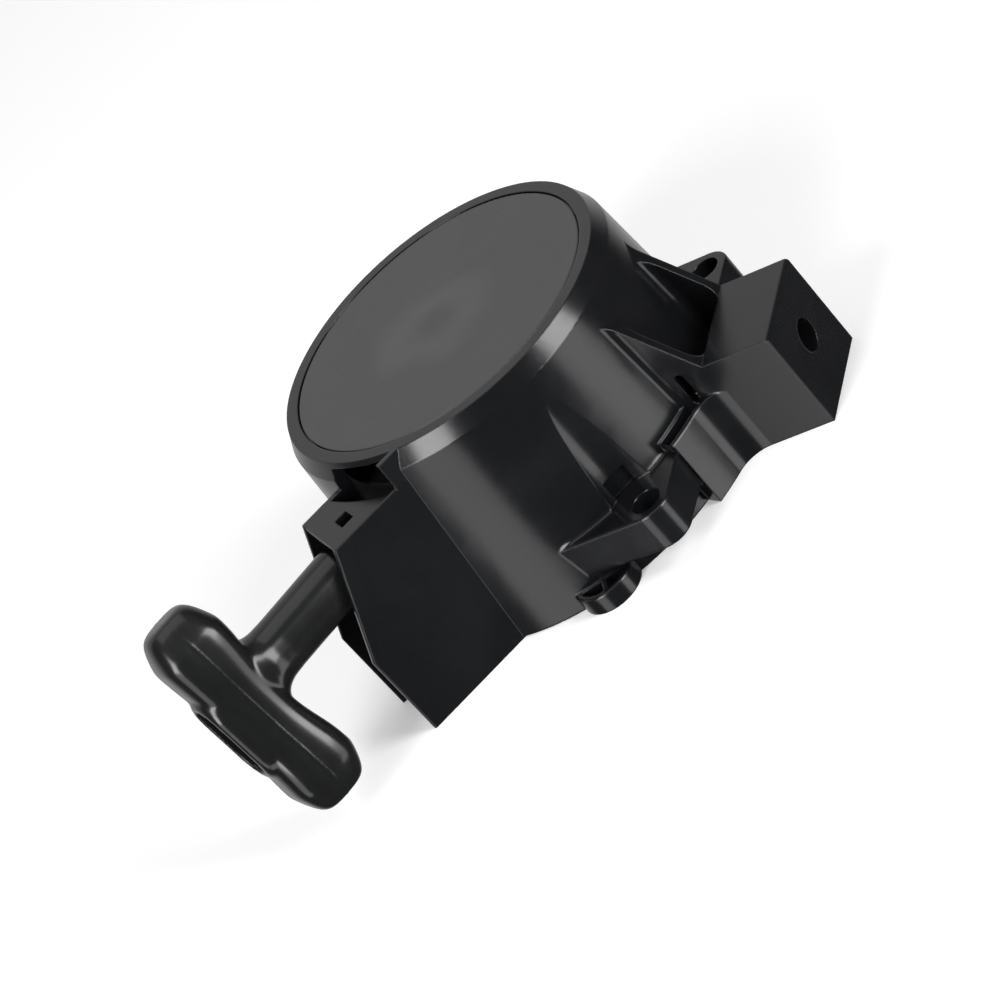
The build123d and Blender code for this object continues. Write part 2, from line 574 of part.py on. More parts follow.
# ---------------------------------------------------------------- rope
with BuildPart() as rope_wound:
    with BuildSketch(Plane.XZ) as turns:
        with Locations(((HUB_R + WOUND_R) / 2, ROPE_Z)):
            Rectangle(WOUND_R - HUB_R - 0.2, ROPE_PITCH + 1.0)
        for layer in range(LAYERS):
            for column in (-0.5, 0.5):
                with Locations((HUB_R + ROPE_R + 0.05 + layer * LAYER_PITCH, ROPE_Z + column * ROPE_PITCH)):
                    Circle(ROPE_R + 0.04)
    revolve(axis=Axis.Z)
rope_wound.part.label = "rope_wound"

PULL_DIR = Vector(-cos(radians(PULL_YAW)), -sin(radians(PULL_YAW)), 0)
GUIDE_POINT = Vector(GUIDE_WALL_X, EXIT_Y, ROPE_Z)
LEAD_START = Vector(LEAD_X, -(WOUND_R + 0.1), ROPE_Z)
lead_run = GUIDE_POINT - LEAD_START

with BuildPart() as rope_lead:
    with BuildSketch(Plane(origin=LEAD_START, z_dir=lead_run)):
        Circle(ROPE_R)
    extrude(amount=lead_run.length)
rope_lead.part.label = "rope_lead"

with BuildPart() as reel_knot:
    with BuildSketch(Plane.XZ.offset(-KNOT_R)) as knot_half:
        with Locations((0, POST_END + 3.4)):
            Ellipse(KNOT_BODY_R, KNOT_HALF)
        with Locations((-5, POST_END + 3.4)):
            Rectangle(10, 10, mode=Mode.SUBTRACT)
    revolve(axis=Axis((0, KNOT_R, 0), (0, 0, 1)))
    with BuildSketch(Plane.XY.offset(POST_END + 4)):
        with Locations((0, KNOT_R)):
            Circle(ROPE_R)
    extrude(amount=ROPE_Z - GROOVE_HALF - POST_END - 4)
reel_knot.part.label = "reel_knot"

# ---------------------------------------------------------------- pawls and their springs
for index in range(2):
    turned = Plane.XY.rotated((0, 0, 180 * index))
    with BuildPart() as pawl:
        with BuildSketch(turned.offset(PAWL_BOTTOM)):
            with Locations((PIVOT_R, 0)):
                Circle(PAWL_BOSS_R)
            with Locations((PIVOT_R + PAWL_TIP[0], PAWL_TIP[1])):
                Circle(PAWL_TIP_R)
            make_hull()
            with Locations((PIVOT_R, 0)):
                Circle(PIVOT_PIN_R + RUN_FIT, mode=Mode.SUBTRACT)
        extrude(amount=PAWL_TOP - PAWL_BOTTOM)
        with BuildSketch(turned.offset(PAWL_TOP - PAWL_POCKET)):
            with Locations((PIVOT_R, 0)):
                Circle(PAWL_POCKET_R)
        extrude(amount=PAWL_POCKET, mode=Mode.SUBTRACT)
        with BuildSketch(turned.offset(DRIVE_BOTTOM + 0.2)):
            with Locations((PIVOT_R + CAM_PIN[0], CAM_PIN[1])):
                Circle(CAM_PIN_R)
        extrude(amount=PAWL_BOTTOM - DRIVE_BOTTOM)
    pawl.part.label = f"pawl_{index + 1}"
    export_step(pawl.part, f"parts/pawl_{index + 1}.step")

    with BuildPart() as pawl_spring:
        with BuildSketch(turned.offset(PAWL_TOP - PAWL_POCKET + 0.15)):
            with Locations((PIVOT_R, 0)):
                Circle(PAWL_SPRING_R)
                Circle(PIVOT_PIN_R + 0.1, mode=Mode.SUBTRACT)
        extrude(amount=PAWL_SPRING_THICK)
    pawl_spring.part.label = f"pawl_spring_{index + 1}"
    export_step(pawl_spring.part, f"parts/pawl_spring_{index + 1}.step")


def cam_point(slip):
    """Where a pawl's cam pin stands on the drive plate when the plate has slipped by an angle."""
    swing = radians(PAWL_RATIO * slip)
    pin_x = PIVOT_R + CAM_PIN[0] * cos(swing) - CAM_PIN[1] * sin(swing)
    pin_y = CAM_PIN[0] * sin(swing) + CAM_PIN[1] * cos(swing)
    back = radians(-slip)
    return (pin_x * cos(back) - pin_y * sin(back), pin_x * sin(back) + pin_y * cos(back))


# ---------------------------------------------------------------- drive plate
with BuildPart() as drive_plate:
    with BuildSketch(Plane.XY.offset(DRIVE_BOTTOM)):
        Circle(DRIVE_R)
        with PolarLocations(DRIVE_R + DRIVE_WAIST_AT, 2, start_angle=60):
            Circle(DRIVE_WAIST_R, mode=Mode.SUBTRACT)
        Circle(SHOULDER_SCREW_R + RUN_FIT, mode=Mode.SUBTRACT)
    extrude(amount=DRIVE_TOP - DRIVE_BOTTOM)
    for index in range(2):
        with BuildSketch(Plane.XY.rotated((0, 0, 180 * index)).offset(DRIVE_BOTTOM)) as cam_slot:
            with BuildLine(mode=Mode.PRIVATE) as cam_path:
                ThreePointArc(cam_point(-1), cam_point(PLATE_SLIP / 2), cam_point(PLATE_SLIP + 1))
            SlotArc(cam_path.edge(), 2 * (CAM_PIN_R + 0.25))
        extrude(amount=DRIVE_TOP - DRIVE_BOTTOM, mode=Mode.SUBTRACT)
drive_plate.part.label = "drive_plate"

# ---------------------------------------------------------------- centre stack
with BuildPart() as thrust_washer:
    with BuildSketch(Plane.XY.offset(DRIVE_TOP + 0.1)):
        Circle(WASHER_R)
        Circle(2.7, mode=Mode.SUBTRACT)
    extrude(amount=POST_END - DRIVE_TOP - 0.1)
thrust_washer.part.label = "thrust_washer"

with BuildPart() as friction_spring:
    with BuildSketch(Plane.XZ):
        with BuildLine():
            Polyline((FRICTION_IN_R, HEAD_TOP + 0.05), (FRICTION_OUT_R, HEAD_TOP + 1.35),
                     (FRICTION_OUT_R, DRIVE_BOTTOM - 0.05), (FRICTION_IN_R, HEAD_TOP + 0.95), close=True)
        make_face()
    revolve(axis=Axis.Z)
friction_spring.part.label = "friction_spring"

with BuildPart() as centre_screw:
    with BuildSketch(Plane.XY.offset(HEAD_TOP - HEAD_THICK)):
        RegularPolygon(HEX_R, 6)
    extrude(amount=HEAD_THICK - HEAD_FLANGE)
    with BuildSketch(Plane.XY.offset(HEAD_TOP - HEAD_FLANGE)):
        Circle(HEAD_FLANGE_R)
    extrude(amount=HEAD_FLANGE)
    with BuildSketch(Plane.XY.offset(HEAD_TOP)):
        Circle(SHOULDER_SCREW_R)
    extrude(amount=DRIVE_TOP + 0.1 - HEAD_TOP)
    with BuildSketch(Plane.XY.offset(DRIVE_TOP + 0.1)):
        Circle(SCREW_THREAD_R)
    extrude(amount=SCREW_THREAD)
centre_screw.part.label = "centre_screw"

# ---------------------------------------------------------------- handle
GRIP_CENTRE = GUIDE_POINT + PULL_DIR * GRIP_AT
LATERAL = Vector(0, 0, 1).cross(PULL_DIR)
GRIP_UP = Vector(0, 0, 1) * cos(radians(GRIP_LEAN)) - LATERAL * sin(radians(GRIP_LEAN))


def along(distance):
    """Plane across the pull line, at a distance from the guide wall, upright along the grip."""
    return Plane(origin=GUIDE_POINT + PULL_DIR * distance, x_dir=GRIP_UP, z_dir=PULL_DIR)


def grip_section(height):
    """Plane across the grip at a height above its middle, with x along the pull line."""
    return Plane(origin=GRIP_CENTRE + GRIP_UP * (GRIP_MID + height), x_dir=PULL_DIR, z_dir=GRIP_UP)


GRIP_SECTIONS = ((-1.0, 16.4, 17.0), (-0.86, 19.2, 20.6), (-0.55, 18.8, 20.8), (-0.26, 15.8, 18.2),
                 (0.26, 15.8, 18.2), (0.55, 18.8, 20.8), (0.86, 19.2, 20.6), (1.0, 16.4, 17.0))

with BuildPart() as handle_grip:
    for height, thick, wide in GRIP_SECTIONS:
        with BuildSketch(grip_section(height * GRIP_HALF)):
            RectangleRounded(thick, wide, 0.42 * thick)
    loft()
    with BuildSketch(along(STEM_TIP)) as stem:
        Circle(STEM_R)
    extrude(amount=GRIP_AT - STEM_TIP)
    foot_from, foot_to, foot_flare = STEM_FOOT
    with BuildSketch(along(GRIP_AT - foot_from)) as stem_foot:
        Circle(STEM_R)
    with BuildSketch(along(GRIP_AT - foot_to)) as stem_foot_wide:
        Circle(STEM_R + foot_flare)
    loft(sections=[stem_foot.sketch, stem_foot_wide.sketch])
    with BuildSketch(along(GRIP_AT)) as bezel:
        with Locations((GRIP_MID, 0)):
            SlotOverall(*BEZEL)
    extrude(amount=BEZEL_END - GRIP_AT)
    with BuildSketch(along(POCKET_FLOOR)) as knot_room:
        with Locations((GRIP_MID, 0)):
            SlotOverall(*KNOT_ROOM)
    extrude(amount=BEZEL_END - POCKET_FLOOR, mode=Mode.SUBTRACT)
    with BuildSketch(along(STEM_TIP)) as handle_bore:
        Circle(HANDLE_BORE_R)
    extrude(amount=POCKET_FLOOR - STEM_TIP, mode=Mode.SUBTRACT)
handle_grip.part.label = "handle_grip"

with BuildPart() as handle_washer:
    with BuildSketch(along(POCKET_FLOOR)):
        Circle(HANDLE_WASHER_R)
        Circle(ROPE_R + 0.2, mode=Mode.SUBTRACT)
    extrude(amount=HANDLE_WASHER_THICK)
handle_washer.part.label = "handle_washer"

with BuildPart() as handle_rope:
    with BuildSketch(along(STEM_TIP + 0.2)):
        Circle(ROPE_R)
    extrude(amount=POCKET_FLOOR + HANDLE_WASHER_THICK - STEM_TIP - 0.2)
handle_rope.part.label = "handle_rope"

with BuildPart() as handle_knot:
    with BuildSketch(along(POCKET_FLOOR + HANDLE_WASHER_THICK)):
        Circle(HANDLE_KNOT_R)
    extrude(amount=HANDLE_KNOT_LONG)
    fillet(handle_knot.edges().filter_by(GeomType.CIRCLE), HANDLE_KNOT_R / 2)
handle_knot.part.label = "handle_knot"

for piece in (housing, face_disc, rope_guide, spring_cover, cover_screws, recoil_spring, rope_reel, rope_wound,
              rope_lead, reel_knot, drive_plate, thrust_washer, friction_spring, centre_screw, handle_grip,
              handle_washer, handle_rope, handle_knot):
    export_step(piece.part, f"parts/{piece.part.label}.step")
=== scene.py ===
"""Recoil starter for a small engine: finishes, moulded handle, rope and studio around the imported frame."""

import json
from math import cos, pi, radians, sin

import bmesh
import bpy
from mathutils import Matrix, Vector


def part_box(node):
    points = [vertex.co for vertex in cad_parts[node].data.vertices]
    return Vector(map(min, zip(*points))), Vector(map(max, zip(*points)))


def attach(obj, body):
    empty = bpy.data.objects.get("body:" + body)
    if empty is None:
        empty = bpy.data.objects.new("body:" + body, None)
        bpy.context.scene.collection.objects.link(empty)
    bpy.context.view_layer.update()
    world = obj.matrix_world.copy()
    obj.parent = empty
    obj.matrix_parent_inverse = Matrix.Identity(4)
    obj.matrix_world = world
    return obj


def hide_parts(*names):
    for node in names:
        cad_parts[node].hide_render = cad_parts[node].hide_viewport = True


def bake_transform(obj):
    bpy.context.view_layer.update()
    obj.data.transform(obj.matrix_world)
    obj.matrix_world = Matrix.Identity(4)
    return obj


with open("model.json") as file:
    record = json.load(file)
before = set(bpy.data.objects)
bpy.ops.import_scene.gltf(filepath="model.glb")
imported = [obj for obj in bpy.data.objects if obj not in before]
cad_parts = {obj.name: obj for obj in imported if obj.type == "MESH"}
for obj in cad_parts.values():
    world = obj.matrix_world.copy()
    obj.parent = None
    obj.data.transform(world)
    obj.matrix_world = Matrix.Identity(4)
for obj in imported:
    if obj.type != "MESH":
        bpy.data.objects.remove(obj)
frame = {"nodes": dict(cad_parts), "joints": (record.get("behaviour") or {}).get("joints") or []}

bl_info = {
    "name": "Recoil Starter",
    "version": (1, 0, 0),
    "blender": (4, 5, 0),
    "location": "View3D > Sidebar > Starter",
    "description": "Builds the finishes, handle, rope and studio of a recoil starter",
    "category": "Object",
}

MM = 0.001
JOINTS = {joint["name"]: joint for joint in frame["joints"]}
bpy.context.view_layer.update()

# pull line, read from the frame: its direction, and the guide that it leaves through
PULL = Vector(JOINTS["handle_pull"]["axis"]).normalized()
GUIDE_LOW, GUIDE_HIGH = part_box("rope_guide")
GUIDE_CENTRE = (GUIDE_LOW + GUIDE_HIGH) / 2
LEAD_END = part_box("rope_lead")[0].x
GUIDE_POINT = Vector((LEAD_END, GUIDE_CENTRE.y, GUIDE_CENTRE.z))
UPRIGHT = Vector((0, 0, 1))
ASIDE = UPRIGHT.cross(PULL)

ROUND = 2.0    # the power at which a superellipse is a plain ellipse
DUST_COLOUR = (0.34, 0.33, 0.31)
SMUDGE_COLOUR = (0.105, 0.108, 0.106)
TRACER_COLOUR = (0.03, 0.03, 0.035)


# ------------------------------------------------------------------ settings
class StarterSizes(bpy.types.PropertyGroup):
    """Sizes of the pieces made here."""

    grip_half: bpy.props.FloatProperty(
        name="Grip Half Length", description="Half the length of the handle's grip", default=0.0330,
        unit="LENGTH", subtype="DISTANCE")
    grip_lean: bpy.props.FloatProperty(
        name="Grip Lean", description="How far the hanging grip is turned about the pull line",
        default=radians(15.7), unit="ROTATION", subtype="ANGLE")
    rope_radius: bpy.props.FloatProperty(
        name="Rope Radius", description="Radius of the starter rope", default=0.002,
        unit="LENGTH", subtype="DISTANCE")
    voxel: bpy.props.FloatProperty(
        name="Moulding Detail", description="Voxel size that the handle is melted together at",
        default=0.00042, precision=5, unit="LENGTH", subtype="DISTANCE")


class StarterColours(bpy.types.PropertyGroup):
    """Colours and finishes of the starter."""

    housing: bpy.props.FloatVectorProperty(
        name="Housing", description="Colour of the moulded housing", default=(0.0052, 0.0055, 0.0064),
        subtype="COLOR", min=0, max=1)
    disc: bpy.props.FloatVectorProperty(
        name="Face Disc", description="Colour of the matte disc in the face", default=(0.052, 0.055, 0.0525),
        subtype="COLOR", min=0, max=1)
    handle: bpy.props.FloatVectorProperty(
        name="Handle", description="Colour of the moulded handle", default=(0.0068, 0.0071, 0.0074),
        subtype="COLOR", min=0, max=1)
    reel: bpy.props.FloatVectorProperty(
        name="Reel", description="Colour of the nylon reel", default=(0.045, 0.045, 0.048),
        subtype="COLOR", min=0, max=1)
    steel: bpy.props.FloatVectorProperty(
        name="Plated Steel", description="Colour of the zinc plated steel", default=(0.56, 0.56, 0.53),
        subtype="COLOR", min=0, max=1)
    spring: bpy.props.FloatVectorProperty(
        name="Spring Steel", description="Colour of the oiled spring strip", default=(0.17, 0.18, 0.21),
        subtype="COLOR", min=0, max=1)
    rope: bpy.props.FloatVectorProperty(
        name="Rope", description="Colour of the braided rope", default=(0.62, 0.61, 0.56),
        subtype="COLOR", min=0, max=1)
    gloss: bpy.props.FloatProperty(
        name="Housing Roughness", description="Roughness of the housing's polished mould surface",
        default=0.2, min=0, max=1, subtype="FACTOR")


# ------------------------------------------------------------------ node helpers
def new_group(name, inputs, outputs):
    """An empty shader node group with its sockets, and its input and output nodes."""
    group = bpy.data.node_groups.new(name, "ShaderNodeTree")
    for label, kind, value in inputs:
        socket = group.interface.new_socket(name=label, in_out="INPUT", socket_type=kind)
        if value is not None:
            socket.default_value = value
    for label, kind in outputs:
        group.interface.new_socket(name=label, in_out="OUTPUT", socket_type=kind)
    return group, group.nodes.new("NodeGroupInput"), group.nodes.new("NodeGroupOutput")


def add_node(tree, kind, **settings):
    """A node with its properties set by name, and its sockets by their labels in a dict called inputs."""
    node = tree.nodes.new(kind)
    values = settings.pop("inputs", {})
    for key, value in settings.items():
        setattr(node, key, value)
    for key, value in values.items():
        node.inputs[key].default_value = value
    return node


def math(tree, operation, first, second=None, clamp=False):
    """A math node fed by sockets or numbers. Returns its output."""
    node = add_node(tree, "ShaderNodeMath", operation=operation, use_clamp=clamp)
    for index, value in enumerate((first, second)):
        if isinstance(value, bpy.types.NodeSocket):
            tree.links.new(value, node.inputs[index])
        elif value is not None:
            node.inputs[index].default_value = value
    return node.outputs[0]


def remap(tree, value, low, high, to_low, to_high):
    """A value mapped smoothly from one range to another. Returns its output."""
    node = add_node(tree, "ShaderNodeMapRange", interpolation_type="SMOOTHSTEP",
                    inputs={"From Min": low, "From Max": high, "To Min": to_low, "To Max": to_high})
    tree.links.new(value, node.inputs["Value"])
    return node.outputs["Result"]


def mix_colours(tree, factor, first, second):
    """A colour mix fed by sockets or colours. Returns its output."""
    node = add_node(tree, "ShaderNodeMix", data_type="RGBA")
    tree.links.new(factor, node.inputs["Factor"])
    for socket, value in ((node.inputs[6], first), (node.inputs[7], second)):
        if isinstance(value, bpy.types.NodeSocket):
            tree.links.new(value, socket)
        else:
            socket.default_value = (*value, 1)
    return node.outputs[2]


# ------------------------------------------------------------------ shared effects
def moulded_grain_group():
    """Fine spark grain and slow flow marks of injection moulded plastic."""
    group, entry, leave = new_group(
        "Moulded Grain",
        [("Grain Size", "NodeSocketFloat", 2600.0), ("Flow Size", "NodeSocketFloat", 38.0)],
        [("Grain", "NodeSocketFloat"), ("Flow", "NodeSocketFloat"), ("Height", "NodeSocketFloat")])
    place = add_node(group, "ShaderNodeTexCoord").outputs["Object"]
    fine = add_node(group, "ShaderNodeTexNoise", inputs={"Detail": 3.0, "Roughness": 0.62})
    group.links.new(place, fine.inputs["Vector"])
    group.links.new(entry.outputs["Grain Size"], fine.inputs["Scale"])
    flow = add_node(group, "ShaderNodeTexNoise",
                    inputs={"Detail": 4.0, "Roughness": 0.5, "Distortion": 0.9})
    group.links.new(place, flow.inputs["Vector"])
    group.links.new(entry.outputs["Flow Size"], flow.inputs["Scale"])
    spread = remap(group, flow.outputs["Fac"], 0.3, 0.7, 0.0, 1.0)
    group.links.new(fine.outputs["Fac"], leave.inputs["Grain"])
    group.links.new(spread, leave.inputs["Flow"])
    height = math(group, "ADD", math(group, "MULTIPLY", fine.outputs["Fac"], 0.3), flow.outputs["Fac"])
    group.links.new(height, leave.inputs["Height"])
    return group


def settled_dust_group():
    """Thin dust on faces that look up, broken into patches and specks."""
    group, entry, leave = new_group(
        "Settled Dust", [("Amount", "NodeSocketFloat", 0.1), ("Patch Size", "NodeSocketFloat", 60.0)],
        [("Mask", "NodeSocketFloat")])
    place = add_node(group, "ShaderNodeTexCoord")
    facing = add_node(group, "ShaderNodeSeparateXYZ")
    group.links.new(place.outputs["Normal"], facing.inputs[0])
    upward = remap(group, facing.outputs["Z"], 0.2, 1.0, 0.25, 1.0)
    patches = add_node(group, "ShaderNodeTexNoise", inputs={"Detail": 6.0, "Roughness": 0.7})
    group.links.new(place.outputs["Object"], patches.inputs["Vector"])
    group.links.new(entry.outputs["Patch Size"], patches.inputs["Scale"])
    specks = add_node(group, "ShaderNodeTexVoronoi", inputs={"Scale": 260.0, "Randomness": 1.0})
    group.links.new(place.outputs["Object"], specks.inputs["Vector"])
    speck = remap(group, specks.outputs["Distance"], 0.03, 0.06, 1.0, 0.0)
    veil = remap(group, patches.outputs["Fac"], 0.42, 0.75, 0.1, 1.0)
    both = math(group, "ADD", veil, math(group, "MULTIPLY", speck, 0.7), clamp=True)
    mask = math(group, "MULTIPLY", math(group, "MULTIPLY", both, upward), entry.outputs["Amount"])
    group.links.new(mask, leave.inputs["Mask"])
    return group


def edge_wear_and_highlight_group():
    """Rubbed edges, lightened as wear and as a painted highlight: where the rounded normal leaves the true
    one, broken up by noise.
    """
    group, entry, leave = new_group(
        "Edge Wear And Highlight", [("Radius", "NodeSocketFloat", 0.0005), ("Amount", "NodeSocketFloat", 0.5)],
        [("Mask", "NodeSocketFloat"), ("Rounded Normal", "NodeSocketVector")])
    rounded = add_node(group, "ShaderNodeBevel", samples=6)
    group.links.new(entry.outputs["Radius"], rounded.inputs["Radius"])
    true = add_node(group, "ShaderNodeNewGeometry")
    dot = add_node(group, "ShaderNodeVectorMath", operation="DOT_PRODUCT")
    group.links.new(rounded.outputs["Normal"], dot.inputs[0])
    group.links.new(true.outputs["Normal"], dot.inputs[1])
    edge = remap(group, dot.outputs["Value"], 0.99, 0.8, 0.0, 1.0)
    place = add_node(group, "ShaderNodeTexCoord").outputs["Object"]
    broken = add_node(group, "ShaderNodeTexNoise",
                      inputs={"Scale": 240.0, "Detail": 5.0, "Roughness": 0.7})
    group.links.new(place, broken.inputs["Vector"])
    breakup = remap(group, broken.outputs["Fac"], 0.4, 0.65, 0.0, 1.0)
    # mask of the lighter edges: partly rubbed wear, partly a painted highlight
    broken_edge = math(group, "MULTIPLY", edge, breakup)
    mask = math(group, "MULTIPLY", broken_edge, entry.outputs["Amount"], clamp=True)
    group.links.new(mask, leave.inputs["Mask"])
    group.links.new(rounded.outputs["Normal"], leave.inputs["Rounded Normal"])
    return group


def fine_scratches_group():
    """Hair-fine rubbing marks that run in two loose directions."""
    group, entry, leave = new_group(
        "Fine Scratches", [("Density", "NodeSocketFloat", 900.0)], [("Mask", "NodeSocketFloat")])
    place = add_node(group, "ShaderNodeTexCoord").outputs["Object"]
    marks = []
    for turn in (0.5, 2.1):
        turned = add_node(group, "ShaderNodeMapping",
                          inputs={"Rotation": (turn, 0.3, turn), "Scale": (1, 0.02, 0.35)})
        group.links.new(place, turned.inputs["Vector"])
        noise = add_node(group, "ShaderNodeTexNoise", inputs={"Detail": 2.0, "Distortion": 0.6})
        group.links.new(turned.outputs["Vector"], noise.inputs["Vector"])
        group.links.new(entry.outputs["Density"], noise.inputs["Scale"])
        marks.append(remap(group, noise.outputs["Fac"], 0.6, 0.78, 0.0, 1.0))
    group.links.new(math(group, "MAXIMUM", marks[0], marks[1]), leave.inputs["Mask"])
    return group


def use_group(tree, name, **values):
    """A shared effect placed in a material, with its own values."""
    node = add_node(tree, "ShaderNodeGroup", node_tree=bpy.data.node_groups[name])
    for key, value in values.items():
        node.inputs[key.replace("_", " ").title()].default_value = value
    return node


def new_material(name, **shader):
    """A material whose Principled shader has its plain values set. Returns it, its tree and its shader."""
    material = bpy.data.materials.new(name)
    material.use_nodes = True
    tree = material.node_tree
    principled = tree.nodes["Principled BSDF"]
    for key, value in shader.items():
        principled.inputs[key.replace("_", " ").title().replace("Ior", "IOR")].default_value = value
    return material, tree, principled


def plastic_material(name, colour, roughness, grain_size, bump, dust, edge_radius, wear_and_highlight=0.35,
                     flow_tone=1.35, extra=None):
    """Moulded plastic: flow-marked colour, edges lightened as rubbed wear and as a painted highlight, dust in
    thin patches, grain in its bump.
    """
    material, tree, shader = new_material(name)
    link = tree.links.new
    grain = use_group(tree, "Moulded Grain", grain_size=grain_size, flow_size=34.0)
    edge = use_group(tree, "Edge Wear And Highlight", radius=edge_radius, amount=wear_and_highlight)
    settled = use_group(tree, "Settled Dust", amount=dust, patch_size=70.0)
    rubbed = use_group(tree, "Fine Scratches", density=900.0)
    tone = mix_colours(tree, grain.outputs["Flow"], colour, [channel * flow_tone for channel in colour])
    if extra:
        tone = extra(tree, tone)
    # edges lightened in colour: partly rubbed wear, partly a painted highlight along the edges
    worn_and_highlit = mix_colours(tree, edge.outputs["Mask"], tone, [0.02 + channel * 2.0 for channel in colour])
    link(mix_colours(tree, settled.outputs["Mask"], worn_and_highlit, DUST_COLOUR), shader.inputs["Base Color"])
    varied = remap(tree, grain.outputs["Flow"], 0.0, 1.0, roughness * 0.92, roughness * 1.1)
    scuffed = math(tree, "ADD", varied, math(tree, "MULTIPLY", rubbed.outputs["Mask"], 0.05))
    dusty = math(tree, "ADD", scuffed, math(tree, "MULTIPLY", settled.outputs["Mask"], 0.5))
    link(math(tree, "ADD", dusty, math(tree, "MULTIPLY", edge.outputs["Mask"], 0.15), clamp=True),
         shader.inputs["Roughness"])
    bumps = add_node(tree, "ShaderNodeBump", inputs={"Strength": bump, "Distance": 0.00006})
    link(grain.outputs["Height"], bumps.inputs["Height"])
    link(edge.outputs["Rounded Normal"], bumps.inputs["Normal"])
    link(bumps.outputs["Normal"], shader.inputs["Normal"])
    return material


def disc_smudge(tree, tone):
    """A faint rubbed ring and smear about the middle of the face disc."""
    place = add_node(tree, "ShaderNodeTexCoord").outputs["Object"]
    warp = add_node(tree, "ShaderNodeTexNoise", inputs={"Scale": 34.0, "Detail": 4.0, "Distortion": 1.6})
    tree.links.new(place, warp.inputs["Vector"])
    flat = add_node(tree, "ShaderNodeVectorMath", operation="MULTIPLY", inputs={1: (1, 1, 0)})
    tree.links.new(place, flat.inputs[0])
    reach = add_node(tree, "ShaderNodeVectorMath", operation="LENGTH")
    tree.links.new(flat.outputs[0], reach.inputs[0])
    wavy = math(tree, "ADD", reach.outputs["Value"], math(tree, "MULTIPLY", warp.outputs["Fac"], 0.02))
    inner = remap(tree, wavy, 0.012, 0.021, 0.0, 1.0)
    outer = remap(tree, wavy, 0.021, 0.032, 1.0, 0.0)
    ring = math(tree, "MULTIPLY", math(tree, "MULTIPLY", inner, outer), 0.34)
    return mix_colours(tree, ring, tone, SMUDGE_COLOUR)


def steel_material(name, colour, roughness, streaks):
    """Plated or rolled steel: cloudy plating, drawn streaks and darker grime in patches."""
    material, tree, shader = new_material(name, metallic=1.0)
    link = tree.links.new
    grain = use_group(tree, "Moulded Grain", grain_size=1800.0, flow_size=90.0)
    rubbed = use_group(tree, "Fine Scratches", density=streaks)
    cloudy = mix_colours(tree, grain.outputs["Flow"], colour, [channel * 0.78 for channel in colour])
    bright = [min(1, channel * 1.3) for channel in colour]
    link(mix_colours(tree, rubbed.outputs["Mask"], cloudy, bright), shader.inputs["Base Color"])
    uneven = remap(tree, grain.outputs["Flow"], 0.0, 1.0, roughness * 0.8, roughness * 1.3)
    link(uneven, shader.inputs["Roughness"])
    bumps = add_node(tree, "ShaderNodeBump", inputs={"Strength": 0.25, "Distance": 0.00005})
    link(grain.outputs["Height"], bumps.inputs["Height"])
    link(bumps.outputs["Normal"], shader.inputs["Normal"])
    return material


def rope_material(colour):
    """Braided polyester: crossing strands in relief, with painted shade in the grooves between them, a dark
    tracer yarn and a soft sheen.
    """
    material, tree, shader = new_material("Braided Rope", sheen_weight=0.35, sheen_roughness=0.5)
    link = tree.links.new
    place = add_node(tree, "ShaderNodeTexCoord").outputs["Object"]
    strands = []
    for lean in (0.9, -0.9):
        turned = add_node(tree, "ShaderNodeMapping", inputs={"Rotation": (lean, lean, lean)})
        link(place, turned.inputs["Vector"])
        wave = add_node(tree, "ShaderNodeTexWave", wave_type="BANDS", bands_direction="X",
                        inputs={"Scale": 260.0, "Distortion": 0.6, "Detail": 1.0})
        link(turned.outputs["Vector"], wave.inputs["Vector"])
        strands.append(wave.outputs["Fac"])
    braid = math(tree, "MAXIMUM", strands[0], strands[1])
    fibres = add_node(tree, "ShaderNodeTexNoise", inputs={"Scale": 2200.0, "Detail": 2.0})
    link(place, fibres.inputs["Vector"])
    # painted shade: the colour darkens in the grooves between the strands, following the braid's relief
    painted_groove_shade = remap(tree, braid, 0.15, 0.9, 0.0, 1.0)
    base = mix_colours(tree, painted_groove_shade, [channel * 0.45 for channel in colour], colour)
    tracer = math(tree, "GREATER_THAN", math(tree, "MULTIPLY", strands[0], strands[1]), 0.8)
    link(mix_colours(tree, tracer, base, TRACER_COLOUR), shader.inputs["Base Color"])
    link(remap(tree, fibres.outputs["Fac"], 0.3, 0.7, 0.7, 0.9), shader.inputs["Roughness"])
    bumps = add_node(tree, "ShaderNodeBump", inputs={"Strength": 0.9, "Distance": 0.00025})
    link(math(tree, "ADD", braid, math(tree, "MULTIPLY", fibres.outputs["Fac"], 0.3)), bumps.inputs["Height"])
    link(bumps.outputs["Normal"], shader.inputs["Normal"])
    return material


# ------------------------------------------------------------------ mesh helpers
def link_mesh(name, mesh):
    """A new object for a mesh, in the scene."""
    piece = bpy.data.objects.new(name, mesh)
    bpy.context.scene.collection.objects.link(piece)
    return piece


def loft(name, rings):
    """A closed mesh through rings of equal numbers of points, with a fan at each end."""
    mesh = bmesh.new()
    loops = [[mesh.verts.new(point) for point in ring] for ring in rings]
    count = len(loops[0])
    for lower, upper in zip(loops, loops[1:]):
        for index in range(count):
            after = (index + 1) % count
            mesh.faces.new((lower[index], lower[after], upper[after], upper[index]))
    for ring in (loops[0], loops[-1]):
        tip = mesh.verts.new(sum((vertex.co for vertex in ring), Vector()) / count)
        for index in range(count):
            mesh.faces.new((ring[index], ring[(index + 1) % count], tip))
    bmesh.ops.recalc_face_normals(mesh, faces=mesh.faces)
    data = bpy.data.meshes.new(name)
    mesh.to_mesh(data)
    mesh.free()
    return link_mesh(name, data)


def rounded_ring(centre, across, along, half_across, half_along, power, count=64):
    """Points of a superellipse about a centre, in the plane of two directions. A higher power is squarer."""
    ring = []
    for index in range(count):
        turn = 2 * pi * index / count
        flat = abs(cos(turn)) ** (2 / power) * (1 if cos(turn) >= 0 else -1)
        tall = abs(sin(turn)) ** (2 / power) * (1 if sin(turn) >= 0 else -1)
        ring.append(centre + across * half_across * flat + along * half_along * tall)
    return ring


